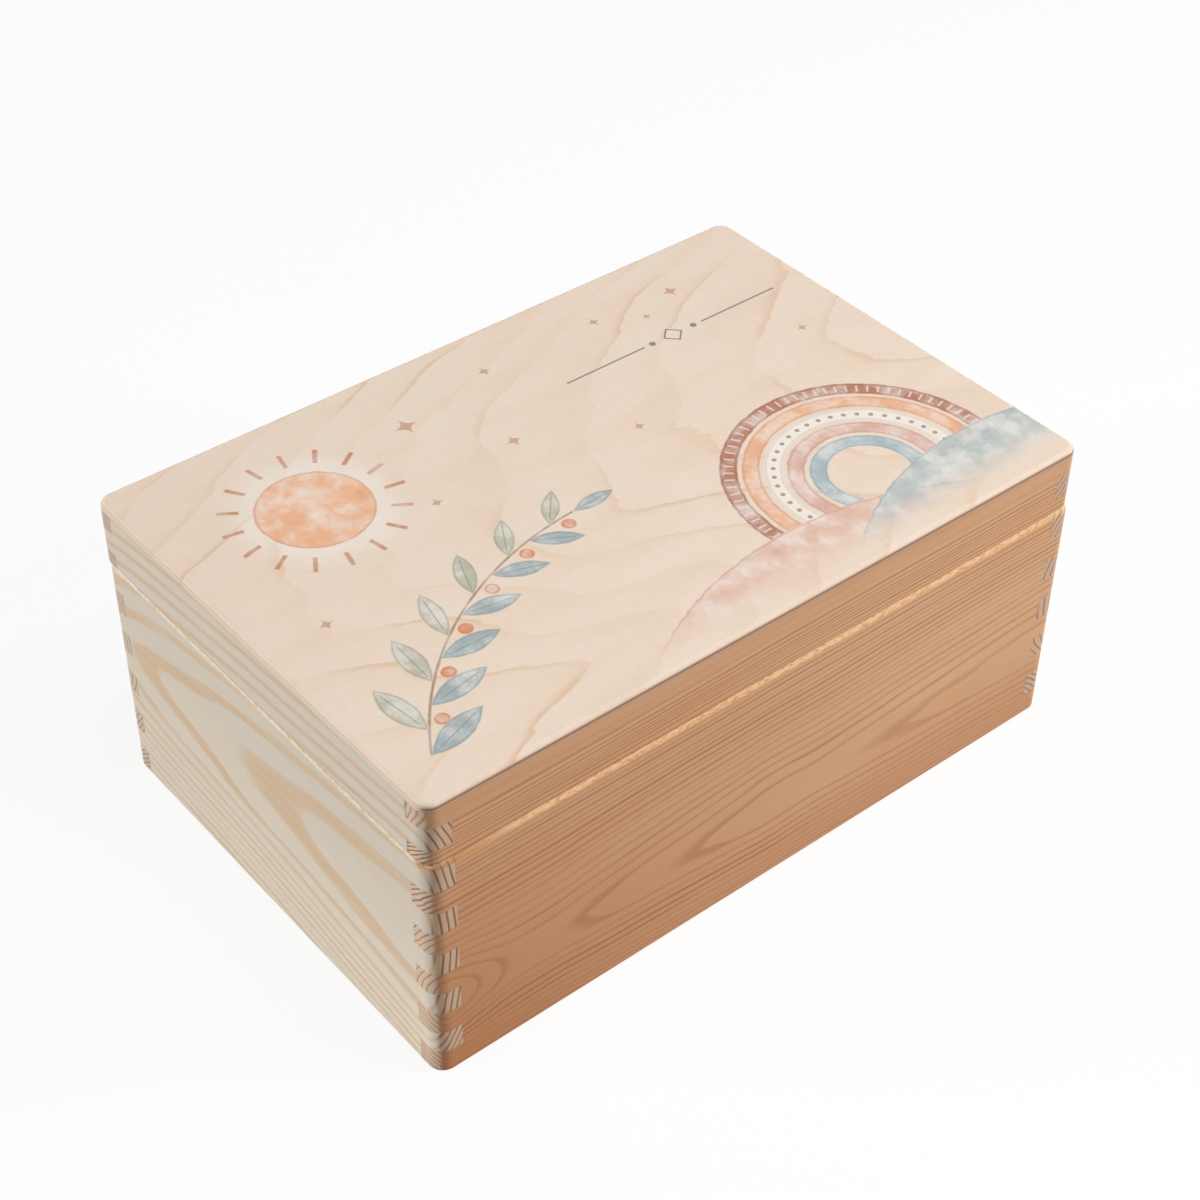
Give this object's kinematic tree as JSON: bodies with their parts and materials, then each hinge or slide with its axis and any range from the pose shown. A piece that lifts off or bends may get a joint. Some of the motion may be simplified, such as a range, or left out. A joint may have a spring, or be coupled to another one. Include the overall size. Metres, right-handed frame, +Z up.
{
  "type": "keepsake box",
  "caption": "Rectangular pine keepsake box with finger-jointed rounded corners and a hinged lid with a flat plywood top",
  "frame": {"origin": "centre of the wooden base's underside, which is the face that it rests on", "axes": "+X along the front towards the right, +Y from the front to the hinges at the back, +Z up"},
  "size_m": [0.3, 0.2037, 0.129],
  "materials": {
    "pine": "sanded bare pine",
    "birch_ply": "sanded bare birch plywood",
    "bottom_ply": "plain plywood",
    "hinge_brass": "satin brass",
    "brass_fixings": "bright brass"
  },
  "bodies": {
    "base": {"base_front_board": "pine", "base_back_board": "pine", "base_left_board": "pine", "base_right_board": "pine", "bottom_panel": "bottom_ply", "left_hinge_base_leaf": "hinge_brass", "left_hinge_pin": "brass_fixings", "left_hinge_base_screws": "brass_fixings", "right_hinge_base_leaf": "hinge_brass", "right_hinge_pin": "brass_fixings", "right_hinge_base_screws": "brass_fixings"},
    "lid": {"lid_front_rail": "pine", "lid_back_rail": "pine", "lid_left_rail": "pine", "lid_right_rail": "pine", "lid_top_panel": "birch_ply", "left_hinge_lid_leaf": "hinge_brass", "left_hinge_lid_screws": "brass_fixings", "right_hinge_lid_leaf": "hinge_brass", "right_hinge_lid_screws": "brass_fixings"}
  },
  "joints": [
    {"name": "lid_hinge", "type": "hinge", "parent": "base", "child": "lid", "pos_m": [0, 0.101, 0.1025], "axis": [-1, 0, 0], "range_deg": [0, 95]}
  ]
}
